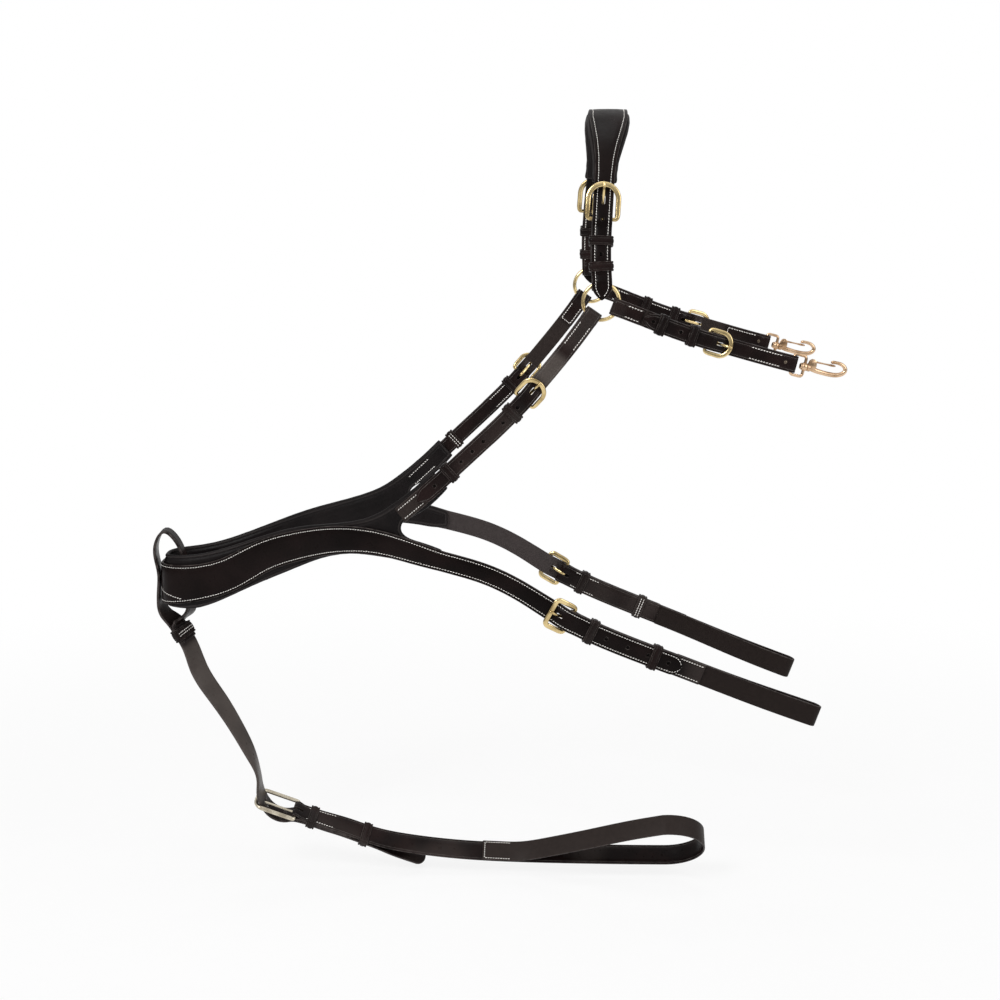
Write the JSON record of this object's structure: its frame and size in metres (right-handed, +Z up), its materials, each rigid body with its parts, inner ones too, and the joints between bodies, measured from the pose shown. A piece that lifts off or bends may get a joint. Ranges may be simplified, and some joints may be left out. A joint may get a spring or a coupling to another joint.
{
  "type": "hunting breastplate",
  "caption": "Leather hunting breastplate for a horse: padded chest and wither pieces, buckled shoulder, saddle and girth straps, snap hooks and a martingale with a girth loop.",
  "frame": {"origin": "middle of the chest pad's inner face at the front of the horse's chest, which is the chest_rest mount", "axes": "+X towards the horse's tail, +Z up, +Y towards its off (right) side; the near side is at -Y"},
  "size_m": [0.7543, 0.2664, 0.86],
  "materials": {
    "leather": "very dark brown bridle leather with a soft sheen and white stitching",
    "lining": "soft black padded leather, slightly duller than the straps",
    "brass": "polished pale brass, slightly coppery on the snap hooks"
  },
  "bodies": {
    "breast": {"chest_lining": "lining", "chest_strap": "leather", "near_shoulder_chape": "leather", "near_shoulder_strap": "leather", "near_shoulder_buckle": "brass", "near_shoulder_keeper": "leather", "near_girth_loop": "leather", "near_girth_buckle": "brass", "near_girth_keeper": "leather", "off_shoulder_chape": "leather", "off_shoulder_strap": "leather", "off_shoulder_buckle": "brass", "off_shoulder_keeper": "leather", "off_girth_loop": "leather", "off_girth_buckle": "brass", "off_girth_keeper": "leather"},
    "wither": {"wither_strap": "leather", "wither_pad": "lining", "near_wither_chape": "leather", "near_wither_buckle": "brass", "near_wither_keeper": "leather", "off_wither_chape": "leather", "off_wither_buckle": "brass", "off_wither_keeper": "leather"},
    "martingale": {"martingale_strap": "leather", "martingale_keeper": "leather", "martingale_buckle": "brass", "martingale_girth_loop": "leather"},
    "martingale_tongue": {"martingale_tongue": "brass"},
    "martingale_runner": {"martingale_runner": "leather"},
    "near_saddle": {"near_saddle_chape": "leather", "near_saddle_billet": "leather", "near_saddle_buckle": "brass"},
    "near_ring": {"near_ring": "brass"},
    "near_snap_eye": {"near_snap_eye": "brass"},
    "near_snap_hook": {"near_snap_hook": "brass"},
    "near_snap_gate": {"near_snap_gate": "brass"},
    "near_shoulder_tongue": {"near_shoulder_tongue": "brass"},
    "near_girth_tongue": {"near_girth_tongue": "brass"},
    "near_wither_tongue": {"near_wither_tongue": "brass"},
    "near_saddle_tongue": {"near_saddle_tongue": "brass"},
    "near_shoulder_runner": {"near_shoulder_runner": "leather"},
    "near_girth_runner": {"near_girth_runner": "leather"},
    "near_wither_runner": {"near_wither_runner": "leather"},
    "near_saddle_runner": {"near_saddle_runner": "leather"},
    "off_saddle": {"off_saddle_chape": "leather", "off_saddle_billet": "leather", "off_saddle_buckle": "brass"},
    "off_ring": {"off_ring": "brass"},
    "off_snap_eye": {"off_snap_eye": "brass"},
    "off_snap_hook": {"off_snap_hook": "brass"},
    "off_snap_gate": {"off_snap_gate": "brass"},
    "off_shoulder_tongue": {"off_shoulder_tongue": "brass"},
    "off_girth_tongue": {"off_girth_tongue": "brass"},
    "off_wither_tongue": {"off_wither_tongue": "brass"},
    "off_saddle_tongue": {"off_saddle_tongue": "brass"},
    "off_shoulder_runner": {"off_shoulder_runner": "leather"},
    "off_girth_runner": {"off_girth_runner": "leather"},
    "off_wither_runner": {"off_wither_runner": "leather"},
    "off_saddle_runner": {"off_saddle_runner": "leather"}
  },
  "joints": [
    {"name": "wither_swing", "type": "hinge", "parent": "breast", "child": "wither", "pos_m": [0.4745, 0, 0.323], "axis": [0, 1, 0], "range_deg": [-25, 8]},
    {"name": "martingale_swing", "type": "hinge", "parent": "breast", "child": "martingale", "pos_m": [0, 0, -0.027], "axis": [0, 1, 0], "range_deg": [-6, 0]},
    {"name": "martingale_tongue_lift", "type": "hinge", "parent": "martingale", "child": "martingale_tongue", "pos_m": [0.13501, 0, -0.27127], "axis": [-0.1359, -0.9173, -0.3743], "range_deg": [0, 4]},
    {"name": "martingale_runner_slide", "type": "slide", "parent": "martingale", "child": "martingale_runner", "axis": [0.9387, 0, -0.3447], "range_m": [-0.003, 0.003]},
    {"name": "near_ring_turn", "type": "hinge", "parent": "breast", "child": "near_ring", "pos_m": [0.4745, -0.122, 0.323], "axis": [0.0243, -0.9997, 0], "continuous": true},
    {"name": "near_saddle_swing", "type": "hinge", "parent": "breast", "child": "near_saddle", "pos_m": [0.4745, -0.122, 0.323], "axis": [0, 1, 0], "range_deg": [-12, 20]},
    {"name": "near_shoulder_tongue_lift", "type": "hinge", "parent": "breast", "child": "near_shoulder_tongue", "pos_m": [0.39422, -0.12341, 0.21955], "axis": [0.7503, -0.0096, -0.661], "range_deg": [0, 7]},
    {"name": "near_shoulder_runner_slide", "type": "slide", "parent": "breast", "child": "near_shoulder_runner", "axis": [-0.7259, 0.0405, -0.6866], "range_m": [-0.003, 0.003]},
    {"name": "near_girth_tongue_lift", "type": "hinge", "parent": "breast", "child": "near_girth_tongue", "pos_m": [0.44348, -0.12242, -0.01786], "axis": [0.4798, 0.0041, 0.8774], "range_deg": [0, 7]},
    {"name": "near_girth_runner_slide", "type": "slide", "parent": "breast", "child": "near_girth_runner", "axis": [0.9298, 0.0374, -0.3662], "range_m": [-0.003, 0.003]},
    {"name": "near_wither_tongue_lift", "type": "hinge", "parent": "wither", "child": "near_wither_tongue", "pos_m": [0.4754, -0.109, 0.40783], "axis": [0.9981, -0.0178, -0.0593], "range_deg": [0, 4]},
    {"name": "near_wither_runner_slide", "type": "slide", "parent": "wither", "child": "near_wither_runner", "axis": [-0.0491, 0.1209, 0.9914], "range_m": [-0.003, 0.003]},
    {"name": "near_saddle_tongue_lift", "type": "hinge", "parent": "near_saddle", "child": "near_saddle_tongue", "pos_m": [0.58619, -0.11781, 0.28221], "axis": [-0.2821, -0.0121, -0.9593], "range_deg": [0, 7]},
    {"name": "near_saddle_runner_slide", "type": "slide", "parent": "near_saddle", "child": "near_saddle_runner", "axis": [0.9325, 0.0378, -0.3593], "range_m": [-0.003, 0.003]},
    {"name": "near_snap_eye_swing", "type": "hinge", "parent": "near_saddle", "child": "near_snap_eye", "pos_m": [0.67662, -0.1127, 0.25701], "axis": [0.2458, 0.0125, 0.9692], "range_deg": [-30, 30]},
    {"name": "near_snap_swivel", "type": "hinge", "parent": "near_snap_eye", "child": "near_snap_hook", "pos_m": [0.69201, -0.11191, 0.2531], "axis": [0.968, 0.0493, -0.2461], "continuous": true},
    {"name": "near_snap_gate_swing", "type": "hinge", "parent": "near_snap_hook", "child": "near_snap_gate", "pos_m": [0.69804, -0.11161, 0.25941], "axis": [-0.0509, 0.9987, 0], "range_deg": [0, 12], "stiffness_Nm_per_rad": 0.02, "springref_deg": -17.19},
    {"name": "off_ring_turn", "type": "hinge", "parent": "breast", "child": "off_ring", "pos_m": [0.4745, 0.122, 0.323], "axis": [-0.0243, -0.9997, 0], "continuous": true},
    {"name": "off_saddle_swing", "type": "hinge", "parent": "breast", "child": "off_saddle", "pos_m": [0.4745, 0.122, 0.323], "axis": [0, 1, 0], "range_deg": [-12, 20]},
    {"name": "off_shoulder_tongue_lift", "type": "hinge", "parent": "breast", "child": "off_shoulder_tongue", "pos_m": [0.39422, 0.12341, 0.21955], "axis": [-0.7503, -0.0096, 0.661], "range_deg": [0, 7]},
    {"name": "off_shoulder_runner_slide", "type": "slide", "parent": "breast", "child": "off_shoulder_runner", "axis": [-0.7259, -0.0405, -0.6866], "range_m": [-0.003, 0.003]},
    {"name": "off_girth_tongue_lift", "type": "hinge", "parent": "breast", "child": "off_girth_tongue", "pos_m": [0.44348, 0.12242, -0.01786], "axis": [-0.4798, 0.0041, -0.8774], "range_deg": [0, 7]},
    {"name": "off_girth_runner_slide", "type": "slide", "parent": "breast", "child": "off_girth_runner", "axis": [0.9298, -0.0374, -0.3662], "range_m": [-0.003, 0.003]},
    {"name": "off_wither_tongue_lift", "type": "hinge", "parent": "wither", "child": "off_wither_tongue", "pos_m": [0.4754, 0.109, 0.40783], "axis": [-0.9981, -0.0178, 0.0593], "range_deg": [0, 4]},
    {"name": "off_wither_runner_slide", "type": "slide", "parent": "wither", "child": "off_wither_runner", "axis": [-0.0491, -0.1209, 0.9914], "range_m": [-0.003, 0.003]},
    {"name": "off_saddle_tongue_lift", "type": "hinge", "parent": "off_saddle", "child": "off_saddle_tongue", "pos_m": [0.58619, 0.11781, 0.28221], "axis": [0.2821, -0.0121, 0.9593], "range_deg": [0, 7]},
    {"name": "off_saddle_runner_slide", "type": "slide", "parent": "off_saddle", "child": "off_saddle_runner", "axis": [0.9325, -0.0378, -0.3593], "range_m": [-0.003, 0.003]},
    {"name": "off_snap_eye_swing", "type": "hinge", "parent": "off_saddle", "child": "off_snap_eye", "pos_m": [0.67662, 0.1127, 0.25701], "axis": [-0.2458, 0.0125, -0.9692], "range_deg": [-30, 30]},
    {"name": "off_snap_swivel", "type": "hinge", "parent": "off_snap_eye", "child": "off_snap_hook", "pos_m": [0.69201, 0.11191, 0.2531], "axis": [-0.968, 0.0493, 0.2461], "continuous": true},
    {"name": "off_snap_gate_swing", "type": "hinge", "parent": "off_snap_hook", "child": "off_snap_gate", "pos_m": [0.69804, 0.11161, 0.25941], "axis": [0.0509, 0.9987, 0], "range_deg": [0, 12], "stiffness_Nm_per_rad": 0.02, "springref_deg": -17.19}
  ]
}
